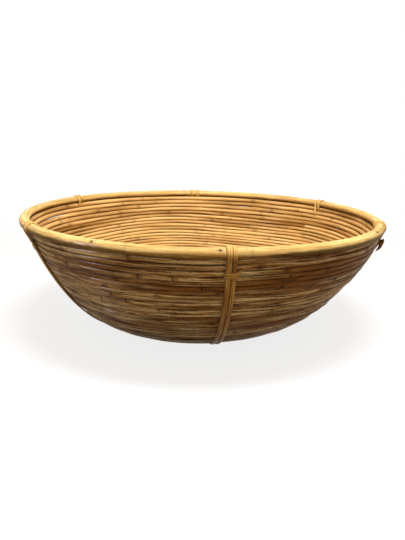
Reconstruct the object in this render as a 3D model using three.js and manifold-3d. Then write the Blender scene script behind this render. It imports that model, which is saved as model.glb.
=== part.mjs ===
// Pencil reed bowl: one long coil of pencil-thick rattan, spliced from several reeds and pinned turn
// to turn, under a thicker rim cane. Six pairs of split-cane strips hook over the rim, run down the
// outside and under the base, and a short tie holds each pair just below the rim.
//
// Millimetres, +Z up. The origin is on the table, on the bowl's axis. An azimuth is in degrees from
// the bowl's front, -Y, towards +X.

import * as THREE from "three";
import { mergeVertices } from "three/addons/utils/BufferGeometryUtils.js";
import Module from "manifold-3d";

const wasm = await Module();
wasm.setup();

// The bowl's form
const rimDiameter = 460; // over the rim cane
const wallDepth = 138; // from the base reeds' centres up to the rim cane's centre
const baseFlatRadius = 72; // the wall curves up from here
const rimLean = 72; // the wall's slope at the rim, in degrees from level
const heelReach = 88; // how long the wall keeps the base's direction
const lipReach = 56; // how long the wall keeps the rim's direction

// The coiled reeds
const reedThickness = 6; // a pencil reed; the turns lie this far apart
const turnGap = 0.5; // air between the reeds' flats
const eyeRadius = 9; // the first bend, at the base's centre
const splicedLength = 12; // a splice's slant, along the reed
const spliceGap = 0.3;
const lastReedStart = 200; // azimuth where the last turn starts to thin under the rim
const lastReedTurns = 0.75; // how far the last turn runs before its tip ends

// Where one reed ends and the next is spliced on, from the base up, in turns below the last turn's
// start: the photograph shows the ends at 19.52, 17.66, 9.64 and 1.12
const spliceTurns = [34.6, 29.2, 25.3, 22.1, 19.52, 17.66, 15.7, 13.9, 11.8, 9.64, 7.45, 5.2, 3.31, 1.12];

// The rim cane
const rimThickness = 12;
const rimSpliceAzimuth = 316;
const rimSpliceLength = 18;

// The split-cane strips of the bindings
const bindingAzimuths = { front: 7.8, right: 75, back_right: 124.5, back: 183.5, back_left: 239, left: 303 };
const stripWidth = 6;
const stripThickness = 1.5;
const stripBevel = 0.9; // how much narrower a strip's face is than its back, on each side
const stripSpacing = 0.6; // air between the two strips of a pair
const stripSlack = 0.35; // a strip bridges up to this much between the reeds that it touches
const stripInsideTurns = 1.6; // how far a strip reaches down inside the bowl, in reeds
const stripEndRadius = 32; // where a strip ends under the base
const seatGap = 0.3; // air between pieces that touch

// The ties across the strips
const tieWidth = 5;
const tieThickness = 1.2;
const tieDrop = 6; // from the first ridge below the rim that the strips touch to a tie's middle
const tails = {
  front: { along: 9, across: 8 },
  right: { along: -15, across: 4 },
  back_right: { along: -7, across: 7 },
  back: { along: 6, across: 9 },
  back_left: { along: -8, across: 8 },
  left: { along: 7, across: 7 },
};

// The nails
const rimNailAzimuths = [4.4, 58.5, 100, 150, 229, 275, 332.8];
const rimNailLean = 50; // a rim nail's slope, in degrees from level
const nailShank = 1.5;
const nailHead = 3.2;
const nailHeadHeight = 0.8;
const nailPoint = 2;
const rimNailLength = 17;
const spliceNailLength = 9;
const nailClearance = 0.25; // air round a shank in its bore
const spliceNailOffset = 11; // from a splice's middle to its nail

// How finely the round forms are cut
const coilSteps = 16; // stations to a turn
const coarseRadius = 28; // inside this radius every second station is left out
const rimSteps = 60;
const rimSides = 8;
const nailSides = 6;

const caneGold = new THREE.MeshStandardMaterial({ color: "#c08a45", roughness: 0.45, metalness: 0 });
const reedBrown = new THREE.MeshStandardMaterial({ color: "#a9763a", roughness: 0.5, metalness: 0 });
const splitCane = new THREE.MeshStandardMaterial({ color: "#9a6a34", roughness: 0.4, metalness: 0 });
const nailSteel = new THREE.MeshStandardMaterial({ color: "#3a332c", roughness: 0.5, metalness: 0.9 });

// A hexagon and an octagon of the same area as a round cane, by their corner radius
const hexagonFlat = reedThickness / 2 - turnGap / 2;
const hexagonCorner = hexagonFlat / Math.cos(Math.PI / 6);
const rimSideAngle = (2 * Math.PI) / rimSides;
const octagonCorner = (rimThickness / 2) * Math.sqrt(rimSideAngle / Math.sin(rimSideAngle));
const octagonFlat = octagonCorner * Math.cos(rimSideAngle / 2);

const baseHeight = stripThickness + seatGap + stripSlack + hexagonCorner;
const rimCentreRadius = rimDiameter / 2 - rimThickness / 2;
const lean = THREE.MathUtils.degToRad(rimLean);

// The reeds' centre line from the bowl's axis out to the rim cane, as radius and height
const profile = new THREE.Path();
profile.moveTo(0, baseHeight);
profile.lineTo(baseFlatRadius, baseHeight);
profile.bezierCurveTo(
  baseFlatRadius + heelReach,
  baseHeight,
  rimCentreRadius - lipReach * Math.cos(lean),
  baseHeight + wallDepth - lipReach * Math.sin(lean),
  rimCentreRadius,
  baseHeight + wallDepth,
);
profile.curves[1].arcLengthDivisions = 2000;
const profileLength = profile.getLength();

// The centre, the direction up the wall and the outward normal at a length along the profile
function wallAt(length) {
  const centre = profile.getPoint(length / profileLength);
  const step = 0.05;
  const low = profile.getPoint(Math.max(length - step, 0) / profileLength);
  const high = profile.getPoint(Math.min(length + step, profileLength) / profileLength);
  const up = high.sub(low).normalize();
  return { centre, up, out: new THREE.Vector2(up.y, -up.x) };
}

// A point of the half-plane at an azimuth, moved sideways across that plane
function place(radius, height, azimuth, sideways = 0) {
  const angle = THREE.MathUtils.degToRad(azimuth);
  return new THREE.Vector3(
    radius * Math.sin(angle) + sideways * Math.cos(angle),
    sideways * Math.sin(angle) - radius * Math.cos(angle),
    height,
  );
}

// A closed body through rings of points that all have the same count
function bodyOfRings(rings) {
  const sides = rings[0].length;
  const faces = [];
  for (let i = 1; i < sides - 1; i++) {
    faces.push(0, i + 1, i);
  }
  for (let ring = 0; ring < rings.length - 1; ring++) {
    for (let i = 0; i < sides; i++) {
      const a = ring * sides + i;
      const b = ring * sides + ((i + 1) % sides);
      faces.push(a, b, b + sides, a, b + sides, a + sides);
    }
  }
  const last = (rings.length - 1) * sides;
  for (let i = 1; i < sides - 1; i++) {
    faces.push(last, last + i, last + i + 1);
  }
  const geometry = new THREE.BufferGeometry().setFromPoints(rings.flat());
  geometry.setIndex(faces);
  geometry.computeVertexNormals();
  return geometry;
}

function solidOf(geometry) {
  const plain = geometry.clone();
  plain.deleteAttribute("normal");
  plain.deleteAttribute("uv");
  const merged = mergeVertices(plain);
  return new wasm.Manifold(
    new wasm.Mesh({
      numProp: 3,
      vertProperties: merged.attributes.position.array,
      triVerts: new Uint32Array(merged.index.array),
    }),
  );
}

function geometryOf(solid) {
  const mesh = solid.getMesh();
  const geometry = new THREE.BufferGeometry();
  geometry.setAttribute("position", new THREE.BufferAttribute(mesh.vertProperties, 3));
  geometry.setIndex(new THREE.BufferAttribute(mesh.triVerts, 1));
  geometry.computeVertexNormals();
  return geometry;
}

// The coil. A place on it is counted in turns from where the last turn starts to thin: below zero
// lie the full turns, down to the eye, and above zero the last turn thins out under the rim.
const rimUnderside = profileLength - octagonFlat - turnGap / 2;
const fullTurns = (rimUnderside - reedThickness / 2 - eyeRadius) / reedThickness;

function coilAt(turns) {
  const share = turns > 0 ? 1 - turns : 1;
  const thickness = reedThickness * share;
  const length = turns > 0 ? rimUnderside - thickness / 2 : rimUnderside - thickness / 2 + turns * reedThickness;
  return {
    ...wallAt(length),
    turns,
    azimuth: lastReedStart + 360 * turns,
    flat: (thickness - turnGap) / 2,
    corner: hexagonCorner * Math.sqrt(share),
  };
}

const stations = [];
const firstStation = -2 * Math.floor((fullTurns * coilSteps) / 2);
for (let i = firstStation; i <= Math.round(lastReedTurns * coilSteps); i++) {
  const station = coilAt(i / coilSteps);
  if (i % 2 === 0 || station.centre.x > coarseRadius) {
    stations.push(station);
  }
}

// The coil's centre at a count of turns, on the straight run between its two stations
function coilCentre(turns) {
  let next = 1;
  while (next < stations.length - 1 && stations[next].turns < turns) {
    next += 1;
  }
  const [a, b] = [stations[next - 1], stations[next]];
  const share = (turns - a.turns) / (b.turns - a.turns);
  return place(a.centre.x, a.centre.y, a.azimuth).lerp(place(b.centre.x, b.centre.y, b.azimuth), share);
}

// A cane's section at a place on the wall: its corners are given along the wall and across it
function ringOf({ centre, up, out, azimuth }, corners) {
  return corners.map(([along, across]) =>
    place(centre.x + up.x * along + out.x * across, centre.y + up.y * along + out.y * across, azimuth),
  );
}

// A skived end between two rings: each corner shifts along the cane by its place across the wall
function skivedRing(from, to, corners, length, shift) {
  const depth = Math.max(...corners.map(([, across]) => across));
  const slant = length / (2 * depth);
  return corners.map(([, across], i) => {
    const along = to[i].clone().sub(from[i]).normalize();
    const moved = slant * across + shift * Math.hypot(1, slant);
    return from[i].clone().lerp(to[i], 0.5).addScaledVector(along, moved);
  });
}

// A reed is six-sided, with two flats facing its neighbours
function reedCorners({ flat, corner }) {
  return [
    [flat, corner / 2],
    [0, corner],
    [-flat, corner / 2],
    [-flat, -corner / 2],
    [0, -corner],
    [flat, -corner / 2],
  ];
}

// One reed ends and the next begins halfway between each of these stations and the one after it
const splices = spliceTurns.map((below) => stations.findIndex((station) => station.turns > -below) - 1);

const rings = stations.map((station) => ringOf(station, reedCorners(station)));
const starts = [-1, ...splices];
const reeds = starts.map((start, n) => {
  const end = splices[n] ?? stations.length;
  const own = rings.slice(start + 1, end + 1);
  const skived = (at, shift) =>
    skivedRing(rings[at], rings[at + 1], reedCorners(stations[at]), splicedLength, shift);
  if (start >= 0) {
    own.unshift(skived(start, spliceGap / 2));
  }
  if (end < stations.length) {
    own.push(skived(end, -spliceGap / 2));
  }
  return bodyOfRings(own);
});

// The least gap between the corners of turns that lie side by side
let leastGap = Infinity;
stations.forEach((station, i) => {
  const above = stations.findIndex((other) => Math.abs(other.turns - station.turns - 1) < 1e-6);
  if (above > 0) {
    const pairs = rings[i].flatMap((low) => rings[above].map((high) => low.distanceTo(high)));
    leastGap = Math.min(leastGap, ...pairs);
  }
});
console.log("least gap between the coil's turns:", leastGap.toFixed(2), "mm");

// The rim cane: one hoop with its two ends skived and laid on each other
const rimCorners = Array.from({ length: rimSides }, (_, i) => {
  const angle = (i + 0.5) * rimSideAngle;
  return [octagonCorner * Math.cos(angle), octagonCorner * Math.sin(angle)];
});
const rimRings = Array.from({ length: rimSteps + 1 }, (_, i) =>
  ringOf({ ...wallAt(profileLength), azimuth: rimSpliceAzimuth + (360 * (i + 0.5)) / rimSteps }, rimCorners),
);
const skivedRim = (shift) =>
  skivedRing(rimRings[rimSteps - 1], rimRings[rimSteps], rimCorners, rimSpliceLength, shift);
const rimBody = bodyOfRings([skivedRim(spliceGap / 2), ...rimRings.slice(0, rimSteps), skivedRim(-spliceGap / 2)]);

// A nail's body points down -Z from its head's underside at the origin
function nailGeometry(length, headed, grow = 0) {
  const radius = nailShank / 2 + grow;
  const outline = [new THREE.Vector2(0, -length - grow), new THREE.Vector2(radius, nailPoint - length - grow)];
  if (headed) {
    outline.push(new THREE.Vector2(radius, 0));
    outline.push(new THREE.Vector2(nailHead / 2 + grow, 0));
    outline.push(new THREE.Vector2(nailHead / 2 + grow, nailHeadHeight));
    outline.push(new THREE.Vector2(0, nailHeadHeight));
  } else {
    outline.push(new THREE.Vector2(radius, grow));
    outline.push(new THREE.Vector2(0, grow));
  }
  const geometry = new THREE.LatheGeometry(outline, nailSides);
  return geometry.rotateX(Math.PI / 2);
}

function nailPlacement(top, direction) {
  const turn = new THREE.Quaternion().setFromUnitVectors(new THREE.Vector3(0, 0, -1), direction);
  return new THREE.Matrix4().compose(top, turn, new THREE.Vector3(1, 1, 1));
}

// Each nail takes its bore out of the pieces that it goes through
const bores = [];
const nails = [];

rimNailAzimuths.forEach((azimuth, i) => {
  const { centre } = wallAt(profileLength);
  const slope = THREE.MathUtils.degToRad(rimNailLean);
  const stand = octagonCorner + seatGap;
  const top = place(centre.x + stand * Math.cos(slope), centre.y + stand * Math.sin(slope), azimuth);
  const direction = place(-Math.cos(slope), -Math.sin(slope), azimuth);
  const placement = nailPlacement(top, direction);
  nails.push({ name: `rim_nail_${i + 1}`, geometry: nailGeometry(rimNailLength, true).applyMatrix4(placement) });
  bores.push(nailGeometry(rimNailLength, false, nailClearance).applyMatrix4(placement));
});

splices.forEach((index, i) => {
  const middle = (stations[index].turns + stations[index + 1].turns) / 2;
  const turns = middle + spliceNailOffset / (2 * Math.PI * stations[index].centre.x);
  const upper = coilCentre(turns);
  const lower = coilCentre(turns - 1);
  const direction = lower.clone().sub(upper).normalize();
  const top = upper.clone().addScaledVector(direction, nailClearance + seatGap - hexagonFlat);
  const placement = nailPlacement(top, direction);
  const name = `splice_nail_${i + 1}`;
  nails.push({ name, geometry: nailGeometry(spliceNailLength, false).applyMatrix4(placement) });
  bores.push(nailGeometry(spliceNailLength, false, nailClearance).applyMatrix4(placement));
});

const boreSolids = bores.map(solidOf);

function bored(geometry) {
  const whole = solidOf(geometry);
  const cutters = boreSolids.filter((bore) => bore.intersect(whole).volume() > 0);
  return geometryOf(cutters.reduce((left, bore) => left.subtract(bore), whole));
}

// The path of a binding's strips in the half-plane at its azimuth, as radius and height of their
// back faces: up inside the bowl, round the rim cane, down over the reeds' ridges and under the base
const pairHalfWidth = stripWidth + stripSpacing / 2;
const bindingHalfWidth = pairHalfWidth + seatGap + tieThickness;
const wrapCorners = 6; // corners of the rim cane's section that a strip bends round

// The least or greatest reach of a turn in the half-plane, over the width of a binding
function turnReach(turns, choose) {
  const spread = bindingHalfWidth / (2 * Math.PI * coilAt(turns).centre.x);
  const samples = [-1, -0.5, 0, 0.5, 1].map((share) => turns + share * spread);
  stations.forEach((station) => {
    if (Math.abs(station.turns - turns) < spread) {
      samples.push(station.turns);
    }
  });
  const middle = place(1, 0, coilAt(turns).azimuth);
  return choose(...samples.map((at) => coilCentre(at).setZ(0).dot(middle)));
}

function ridgePoint(turns, side, choose) {
  const { centre, out, corner } = coilAt(turns);
  const stand = side * (corner + seatGap + stripSlack);
  return new THREE.Vector2(turnReach(turns, choose) + out.x * stand, centre.y + out.y * stand);
}

function leastSkip(points, from, furthest) {
  let to = Math.min(from + furthest, points.length - 1);
  const bulge = (end) => {
    const run = points[end].clone().sub(points[from]);
    const left = new THREE.Vector2(-run.y, run.x).normalize();
    const between = points.slice(from + 1, end);
    return Math.max(0, ...between.map((point) => point.clone().sub(points[from]).dot(left)));
  };
  while (to > from + 1 && bulge(to) > stripSlack) {
    to -= 1;
  }
  return to;
}

function stripPath(azimuth) {
  const rim = wallAt(profileLength);
  const topTurn = ((azimuth - lastReedStart) / 360) % 1;
  const firstTurn = topTurn > 0 ? topTurn - 1 : topTurn;
  const path = [];

  const insideTurn = firstTurn - Math.floor(stripInsideTurns - 0.5);
  path.push(ridgePoint(insideTurn, -1, Math.min));
  const wrap = octagonCorner + 2 * seatGap;
  for (let corner = 0; corner < wrapCorners; corner++) {
    const angle = (corner - 0.5) * rimSideAngle;
    const along = wrap * Math.sin(angle);
    const across = -wrap * Math.cos(angle);
    path.push(
      new THREE.Vector2(
        rim.centre.x + rim.up.x * along + rim.out.x * across,
        rim.centre.y + rim.up.y * along + rim.out.y * across,
      ),
    );
  }

  const ridges = [];
  for (let turns = firstTurn; coilAt(turns).centre.x > baseFlatRadius; turns -= 1) {
    ridges.push(ridgePoint(turns, 1, Math.max));
  }
  let at = 1;
  while (at < ridges.length - 1) {
    path.push(ridges[at]);
    at = leastSkip(ridges, at, 3);
  }
  path.push(new THREE.Vector2(baseFlatRadius, stripThickness));
  path.push(new THREE.Vector2(stripEndRadius, stripThickness));
  return path;
}

// A strip's body: its flat back follows the path and its face stands a thickness off it
function stripGeometry(path, azimuth, sideways) {
  const section = [
    [stripWidth / 2, 0],
    [stripWidth / 2 - stripBevel, stripThickness],
    [stripBevel - stripWidth / 2, stripThickness],
    [-stripWidth / 2, 0],
  ];
  const runs = path.slice(1).map((point, i) => point.clone().sub(path[i]).normalize());
  const stripRings = path.map((point, i) => {
    const before = runs[Math.max(i - 1, 0)];
    const after = runs[Math.min(i, runs.length - 1)];
    const mean = before.clone().add(after).normalize();
    const stretch = 1 / mean.dot(before);
    return section.map(([across, off]) =>
      place(point.x - mean.y * off * stretch, point.y + mean.x * off * stretch, azimuth, sideways + across),
    );
  });
  return bodyOfRings(stripRings);
}

// A tie: a band folded round both strips of a pair, whose cut end sticks out as a pointed tail
function tieGeometry(path, azimuth, tail) {
  let next = wrapCorners + 2;
  let drop = tieDrop;
  while (path[next].distanceTo(path[next - 1]) < drop) {
    drop -= path[next].distanceTo(path[next - 1]);
    next += 1;
  }
  const down = path[next].clone().sub(path[next - 1]).normalize();
  const off = new THREE.Vector2(-down.y, down.x);
  const middle = path[next - 1].clone().addScaledVector(down, drop);
  const inner = pairHalfWidth + seatGap;
  const outer = bindingHalfWidth;
  const low = stripThickness + seatGap;
  const high = low + tieThickness;
  const band = new THREE.Shape([
    new THREE.Vector2(-outer, 0),
    new THREE.Vector2(-inner, 0),
    new THREE.Vector2(-inner, low),
    new THREE.Vector2(inner, low),
    new THREE.Vector2(inner, 0),
    new THREE.Vector2(outer, 0),
    new THREE.Vector2(outer, low),
    new THREE.Vector2(inner, high),
    new THREE.Vector2(-inner, high),
    new THREE.Vector2(-outer, low),
  ]);
  const bandGeometry = new THREE.ExtrudeGeometry(band, { depth: tieWidth, bevelEnabled: false });
  bandGeometry.translate(0, 0, -tieWidth / 2);

  const root = new THREE.Vector2(inner - tieWidth / 2, 0);
  const tip = new THREE.Vector2(inner + tail.across, tail.along);
  const side = tip.clone().sub(root).normalize().rotateAround(new THREE.Vector2(), Math.PI / 2);
  const point = new THREE.Shape([
    root.clone().addScaledVector(side, -tieWidth / 2),
    tip,
    root.clone().addScaledVector(side, tieWidth / 2),
  ]);
  const pointGeometry = new THREE.ExtrudeGeometry(point, { depth: tieThickness, bevelEnabled: false });
  pointGeometry.applyMatrix4(
    new THREE.Matrix4().makeBasis(
      new THREE.Vector3(1, 0, 0),
      new THREE.Vector3(0, 0, -1),
      new THREE.Vector3(0, 1, 0),
    ),
  );
  pointGeometry.translate(0, low, 0);
  const joined = geometryOf(solidOf(bandGeometry).add(solidOf(pointGeometry)));

  const origin = place(middle.x, middle.y, azimuth);
  const placement = new THREE.Matrix4().makeBasis(
    place(0, 0, azimuth, 1),
    place(off.x, off.y, azimuth),
    place(down.x, down.y, azimuth),
  );
  return joined.applyMatrix4(placement.setPosition(origin));
}

const bowl = new THREE.Group();

function addPiece(name, geometry, material) {
  const mesh = new THREE.Mesh(geometry, material);
  mesh.name = name;
  bowl.add(mesh);
}

reeds.forEach((geometry, i) => {
  const name = `reed_${String(i + 1).padStart(2, "0")}`;
  addPiece(name, bored(geometry), reedBrown);
});

addPiece("rim_cane", bored(rimBody), caneGold);

nails.forEach(({ name, geometry }) => addPiece(name, geometryOf(solidOf(geometry)), nailSteel));

Object.entries(bindingAzimuths).forEach(([side, azimuth]) => {
  const path = stripPath(azimuth);
  const sideways = (stripWidth + stripSpacing) / 2;
  addPiece(`${side}_strip_a`, stripGeometry(path, azimuth, -sideways), splitCane);
  addPiece(`${side}_strip_b`, stripGeometry(path, azimuth, sideways), splitCane);
  addPiece(`${side}_tie`, tieGeometry(path, azimuth, tails[side]), splitCane);
});

export default bowl;
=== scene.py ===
# Pencil reed bowl: one long coil of pencil-thick rattan under a thicker rim cane, bound by six pairs
# of split-cane strips. Metres, +Z up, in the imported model's frame. An azimuth is in degrees from the
# bowl's front, -Y, towards +X. A level is a length along the wall's curve from the bowl's axis.
from math import pi, radians

import bpy
import numpy as np
from mathutils import Matrix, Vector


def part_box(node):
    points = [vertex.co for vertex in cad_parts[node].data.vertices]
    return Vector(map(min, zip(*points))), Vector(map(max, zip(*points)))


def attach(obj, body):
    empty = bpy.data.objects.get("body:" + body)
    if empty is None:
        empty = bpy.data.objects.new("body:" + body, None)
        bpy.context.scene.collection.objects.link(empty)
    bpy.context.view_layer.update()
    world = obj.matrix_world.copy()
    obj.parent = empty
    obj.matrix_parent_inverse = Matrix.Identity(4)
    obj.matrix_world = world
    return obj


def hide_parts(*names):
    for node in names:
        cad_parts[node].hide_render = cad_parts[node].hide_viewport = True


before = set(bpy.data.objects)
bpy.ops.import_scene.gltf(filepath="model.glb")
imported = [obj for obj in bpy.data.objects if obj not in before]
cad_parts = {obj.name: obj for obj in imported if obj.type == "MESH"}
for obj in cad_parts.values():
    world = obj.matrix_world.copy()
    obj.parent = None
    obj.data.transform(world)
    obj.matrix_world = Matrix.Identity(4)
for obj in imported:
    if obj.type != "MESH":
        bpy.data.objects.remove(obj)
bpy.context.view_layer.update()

# Camera: where the photograph was taken from, worked out from the bowl's outline and both edges of
# its rim. It looks a little down into the bowl and leans slightly to the left.
camera = bpy.data.objects.new("camera", bpy.data.cameras.new("camera"))
camera.data.lens = 34.29
camera_place = (0.0, -0.6812, 0.2529)
camera_pitch, camera_yaw, camera_lean = 15.28, 0.23, 1.34
camera.matrix_world = (
    Matrix.Translation(camera_place)
    @ Matrix.Rotation(radians(-camera_yaw), 4, "Z")
    @ Matrix.Rotation(radians(90 - camera_pitch), 4, "X")
    @ Matrix.Rotation(radians(camera_lean), 4, "Z")
)
bpy.context.scene.collection.objects.link(camera)
bpy.context.scene.camera = camera


# Studio: a pale matt floor that runs out of view on all sides, one broad soft lamp high over the
# bowl, a dim even fill, and a cool window at the left, which only glints on the varnish.
def linear(code):
    """Turns an sRGB hex code into linear RGBA: c / 12.92 up to 0.04045, and ((c + 0.055) / 1.055) ** 2.4
    above it."""
    channels = np.array([int(code[i : i + 2], 16) / 255 for i in (1, 3, 5)])
    curved = np.where(channels <= 0.04045, channels / 12.92, ((channels + 0.055) / 1.055) ** 2.4)
    return (*curved.tolist(), 1.0)


def empty_tree(owner):
    """Turns on the nodes of a material or a world and clears them."""
    owner.use_nodes = True
    owner.node_tree.nodes.clear()
    return owner.node_tree


def add_node(tree, kind, inputs=None, **settings):
    """Adds one node, sets its properties, and sets or links its input sockets."""
    made = tree.nodes.new(kind)
    for name, value in settings.items():
        setattr(made, name, value)
    for name, value in (inputs or {}).items():
        if isinstance(value, bpy.types.NodeSocket):
            tree.links.new(value, made.inputs[name])
        else:
            made.inputs[name].default_value = value
    return made


def mixed(tree, share, first, second):
    """Two colours mixed by a share of the second."""
    return add_node(tree, "ShaderNodeMix", {0: share, 6: first, 7: second}, data_type="RGBA").outputs[2]


def in_view(tree):
    """1 for what the camera sees, straight or in a reflection, and 0 for soft light on other surfaces."""
    rays = add_node(tree, "ShaderNodeLightPath")
    seen = {0: rays.outputs["Is Camera Ray"], 1: rays.outputs["Is Glossy Ray"]}
    return add_node(tree, "ShaderNodeMath", seen, operation="MAXIMUM").outputs[0]


floor_half = 6.0
floor_mesh = bpy.data.meshes.new("floor")
floor_mesh.from_pydata(
    [(x * floor_half, y * floor_half, 0.0) for x, y in ((-1, -1), (1, -1), (1, 1), (-1, 1))],
    [],
    [(0, 1, 2, 3)],
)
floor = bpy.data.objects.new("floor", floor_mesh)
bpy.context.scene.collection.objects.link(floor)

# Matt studio paper: it looks white to the camera and in reflections, and keeps a soft shadow that
# fades out away from the bowl. What it throws back onto the bowl is painted darker close under the
# bowl, a painted shade.
shadow_from, shadow_to, shadow_white = 0.35, 0.95, 0.82
bounce_shade_from, bounce_shade_to = 0.08, 0.45
paper = bpy.data.materials.new("matt_paper")
tree = empty_tree(paper)
place = add_node(tree, "ShaderNodeTexCoord")
away = add_node(tree, "ShaderNodeVectorMath", {0: place.outputs["Object"]}, operation="LENGTH")
away = away.outputs["Value"]
fade = {"Value": away, "From Min": shadow_from, "From Max": shadow_to, "To Min": shadow_white}
fade = add_node(tree, "ShaderNodeMapRange", fade, interpolation_type="SMOOTHSTEP")
# The colour it throws back is painted darker close under the bowl: a painted shade under it
bounce_shade = add_node(tree, "ShaderNodeMapRange", {"Value": away, "From Min": bounce_shade_from, "From Max": bounce_shade_to})
shaded_bounce_tone = mixed(tree, bounce_shade.outputs[0], linear("#2E241A"), linear("#7A6544"))
matt = add_node(tree, "ShaderNodeBsdfDiffuse", {"Color": shaded_bounce_tone})
pale = add_node(tree, "ShaderNodeBsdfDiffuse", {"Color": linear("#F4F3F1")})
white = add_node(tree, "ShaderNodeEmission", {"Color": linear("#FFFFFF"), "Strength": 1.0})
shown = add_node(tree, "ShaderNodeMixShader", {0: fade.outputs[0], 1: pale.outputs[0], 2: white.outputs[0]})
whole = add_node(tree, "ShaderNodeMixShader", {0: in_view(tree), 1: matt.outputs[0], 2: shown.outputs[0]})
add_node(tree, "ShaderNodeOutputMaterial", {"Surface": whole.outputs[0]})
floor_mesh.materials.append(paper)

fill_strength = 0.53
world = bpy.data.worlds.new("studio")
bpy.context.scene.world = world
tree = empty_tree(world)
seen = in_view(tree)
strength = add_node(tree, "ShaderNodeMapRange", {"Value": seen, "To Min": fill_strength, "To Max": 1.0})
tint = mixed(tree, seen, linear("#FFEBD2"), linear("#FFFFFF"))
sky = add_node(tree, "ShaderNodeBackground", {"Color": tint, "Strength": strength.outputs[0]})
add_node(tree, "ShaderNodeOutputWorld", {"Surface": sky.outputs[0]})


def area_lamp(name, size, power, colour, place, turn, axis):
    """Adds a rectangular lamp, which shines straight down until it is turned by degrees about an axis."""
    lamp = bpy.data.objects.new(name, bpy.data.lights.new(name, "AREA"))
    lamp.data.shape = "RECTANGLE"
    lamp.data.size, lamp.data.size_y = size
    lamp.data.energy = power
    lamp.data.color = linear(colour)[:3]
    lamp.matrix_world = Matrix.Translation(place) @ Matrix.Rotation(radians(turn), 4, axis)
    bpy.context.scene.collection.objects.link(lamp)
    return lamp


area_lamp(
    "overhead_lamp",
    size=(0.5, 0.22),
    power=22.5,
    colour="#FFFFFF",
    place=(0.1, -0.36, 1.3),
    turn=14,
    axis="X",
)
window = area_lamp(
    "side_window",
    size=(0.6, 0.26),
    power=60.0,
    colour="#E6E2FF",
    place=(-1.34, -0.64, 0.32),
    turn=-83,
    axis="Y",
)
window.visible_diffuse = False
bpy.context.scene.view_settings.view_transform = "Standard"

# The wall: the curve that the reeds' centres follow from the bowl's axis out along the flat base and
# up to the rim cane's centre. The base is level for 72 mm and the wall rises at 72 degrees at the rim.
rim_low, rim_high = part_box("rim_cane")
base_low, base_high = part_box("reed_01")
rim_thickness = 0.012
rim_flat_side = 0.0042  # the cane is shaved flat where it lies on the coil, this far from its centre
rim_outer_radius = 0.230
rim_radius = rim_outer_radius - rim_thickness / 2
rim_height = (rim_low.z + rim_high.z) / 2
base_height = (base_low.z + base_high.z) / 2
base_flat_radius = 0.072
rim_lean = radians(72)
heel_reach, lip_reach = 0.088, 0.056
bend_steps = 2000
past_rim = 0.030

lip_step = np.array([np.cos(rim_lean), np.sin(rim_lean)])
first_corner = np.array([base_flat_radius, base_height])
second_corner = np.array([base_flat_radius + heel_reach, base_height])
last_corner = np.array([rim_radius, rim_height])
third_corner = last_corner - lip_reach * lip_step
share = np.linspace(0, 1, bend_steps + 1)[:, None]
bend = (1 - share) ** 3 * first_corner + 3 * (1 - share) ** 2 * share * second_corner
bend += 3 * (1 - share) * share**2 * third_corner + share**3 * last_corner
bend_level = base_flat_radius + np.r_[0, np.cumsum(np.hypot(*np.diff(bend, axis=0).T))]
rim_level = bend_level[-1]
wall_level = np.r_[0, bend_level, rim_level + past_rim]
wall_curve = np.vstack([(0, base_height), bend, last_corner + past_rim * lip_step])
wall_slope = np.gradient(wall_curve, wall_level, axis=0)
wall_slope /= np.linalg.norm(wall_slope, axis=1)[:, None]

# Where the hand-laid wall stands out a little: azimuth, level, by how much, and how far round and up
bulges = [(78, rim_level - 0.035, 0.0045, 32, 0.040), (318, 0.150, 0.0035, 40, 0.050)]


def turned_from(middle, azimuth):
    """Degrees round from a middle azimuth, between -180 and 180."""
    return (np.asarray(azimuth) - middle + 180) % 360 - 180


def bump(distance, reach):
    """A smooth bump of height 1 that fades to about a third at the reach: exp(-(d / r) ** 2)."""
    return np.exp(-((distance / reach) ** 2))


def wall_points(azimuth, level, across=0.0, sideways=0.0):
    """Points near the wall. The curve, a level line and then a cubic Bezier, gives radius and height at a
    level. They move out along the curve's normal by across and by the bulges, and turn to the azimuth a
    with sideways s: (r sin a + s cos a, s sin a - r cos a, h)."""
    up_out = np.interp(level, wall_level, wall_slope[:, 0])
    up_high = np.interp(level, wall_level, wall_slope[:, 1])
    for middle, at, proud, spread, reach in bulges:
        across = across + proud * bump(turned_from(middle, azimuth), spread) * bump(level - at, reach)
    radius = np.interp(level, wall_level, wall_curve[:, 0]) + up_high * across
    height = np.interp(level, wall_level, wall_curve[:, 1]) - up_out * across
    angle = np.radians(azimuth)
    x = radius * np.sin(angle) + sideways * np.cos(angle)
    y = sideways * np.sin(angle) - radius * np.cos(angle)
    return np.stack(np.broadcast_arrays(x, y, height), -1)


# The coil: one spiral of reeds, counted in turns from where the last turn starts under the rim. Each
# reed has its own thickness, and the turns are stacked down from the rim cane, each on the next.
coil_start = 200.0  # the azimuth where the last turn starts
coil_end = 0.75  # the turn at which the last reed is skived away to nothing
coil_eye = -45.5  # the turn at which the first reed starts, round the base's eye
counted_turns = 46
steps_a_turn = 360
eye_radius = 0.009
taper_start = 0.5
slow_swell, slow_turns = 0.08, 0.9
quick_swell, quick_turns = 0.07, 0.16
splice_ease = 0.02
splice_turns = np.array(
    [34.6, 29.2, 25.3, 22.1, 19.52, 17.66, 15.7, 13.9, 11.8, 9.645, 7.45, 5.2, 3.31, 1.12]
)
reed_thickness = 0.001 * np.array(
    [6.3, 6.1, 6.3, 6.2, 6.4, 6.2, 6.0, 5.4, 5.2, 5.4, 5.8, 5.5, 6.1, 6.7, 6.9]
)


def wander(along, wavelength, seed):
    """Smooth noise of about -1 to 1: the mean of six sines, with wavelengths of half to twice the given
    one, times 1.8."""
    draw = np.random.default_rng(seed)
    pace = 2 ** draw.uniform(-1, 1, 6)
    phase = draw.uniform(0, 2 * pi, 6)
    return 1.8 * np.sin(2 * pi * np.asarray(along)[..., None] * pace / wavelength + phase).mean(-1)


def smooth_step(value):
    """Goes from 0 to 1 as the value does, level at both ends: 3 v ** 2 - 2 v ** 3."""
    held = np.clip(value, 0, 1)
    return held * held * (3 - 2 * held)


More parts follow.
